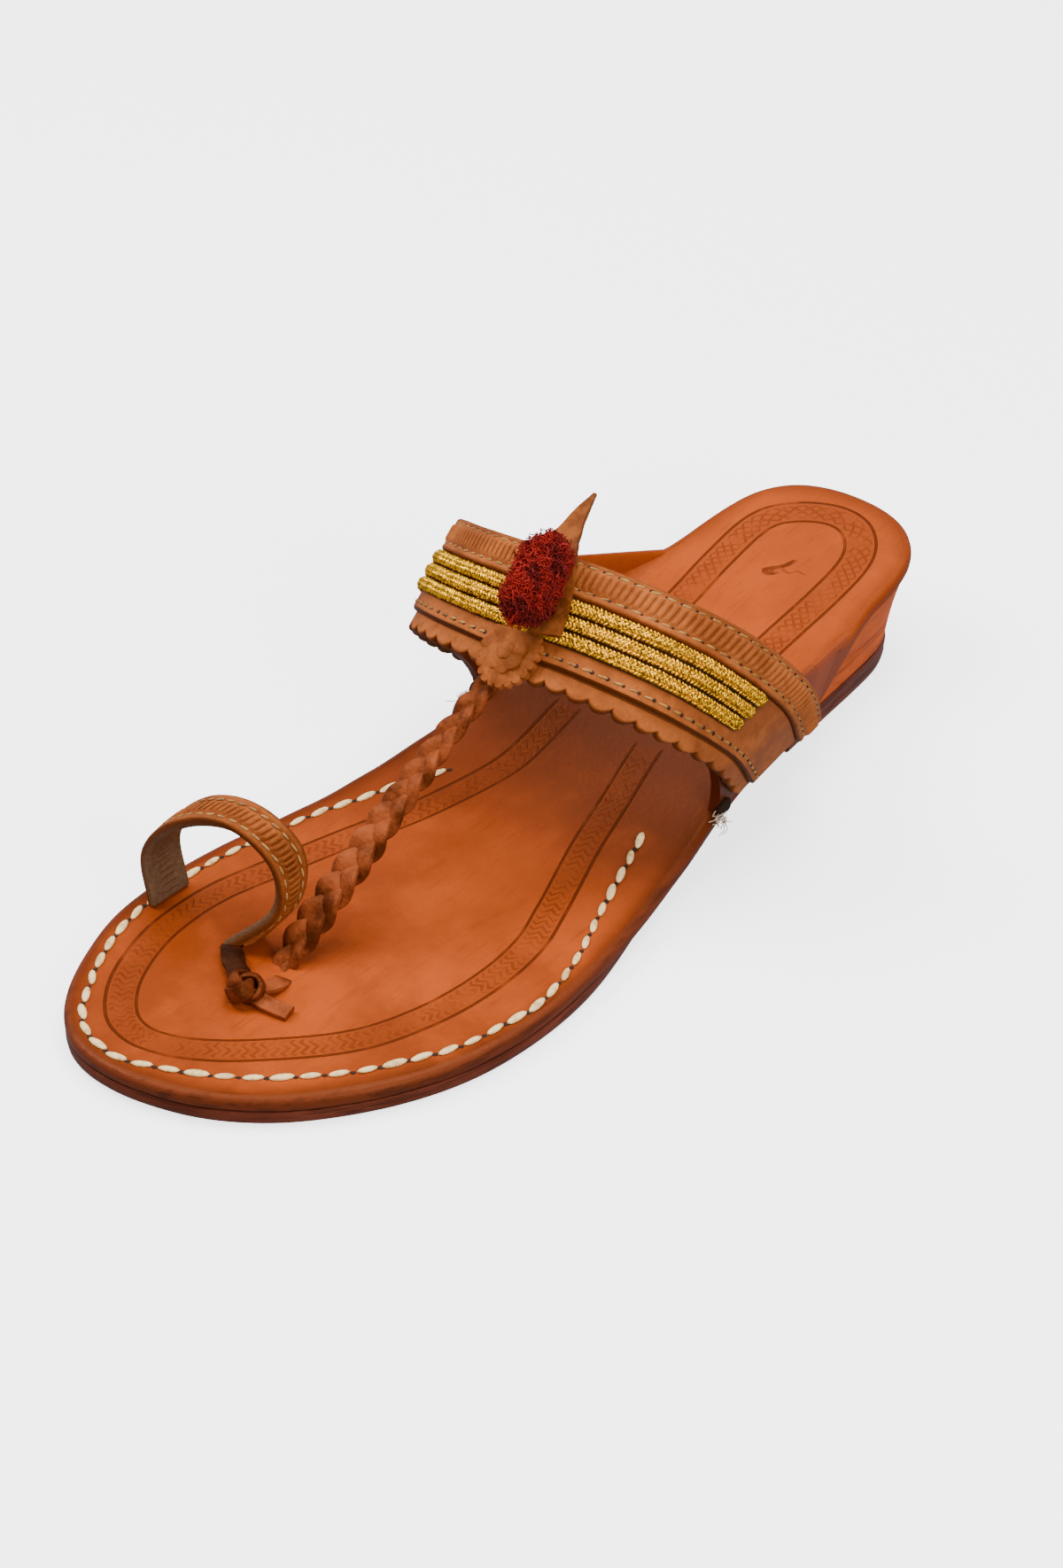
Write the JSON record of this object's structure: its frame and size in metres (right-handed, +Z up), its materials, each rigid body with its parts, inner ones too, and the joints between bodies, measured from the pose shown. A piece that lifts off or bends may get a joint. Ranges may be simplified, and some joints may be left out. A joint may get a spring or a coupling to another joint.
{
  "type": "kolhapuri sandal",
  "caption": "Flat left-foot leather sandal with a wide instep band, a braided toe strap, a big-toe loop, gold cords, a rosette and a wool pompom.",
  "frame": {"origin": "on the floor, under the middle of the sandal's bounding box", "axes": "+X towards the little-toe side, +Y towards the heel, +Z up; the toes point to -Y"},
  "size_m": [0.0952, 0.2492, 0.084],
  "materials": {
    "sole_edge": "dark dyed and waxed edge",
    "footbed": "orange-tan, vegetable-tanned leather, burnished",
    "wedge": "orange-tan leather wedge, waxed",
    "strap": "light tan leather, satin",
    "braid": "red-brown leather cord, satin",
    "gold": "metallic gold braid",
    "wool": "dark red wool"
  },
  "bodies": {
    "root": {"outsole": "sole_edge", "heel_wedge": "wedge", "heel_lift": "sole_edge", "footbed_plate": "footbed", "instep_band_and_toe_braid": "strap", "band_face_leather": "strap", "band_rear_strip": "strap", "gold_cord_1": "gold", "gold_cord_2": "gold", "gold_cord_3": "gold", "toe_loop": "strap", "thong_knot": "braid", "rosette": "strap", "horn": "strap", "pompom": "wool"}
  },
  "joints": []
}
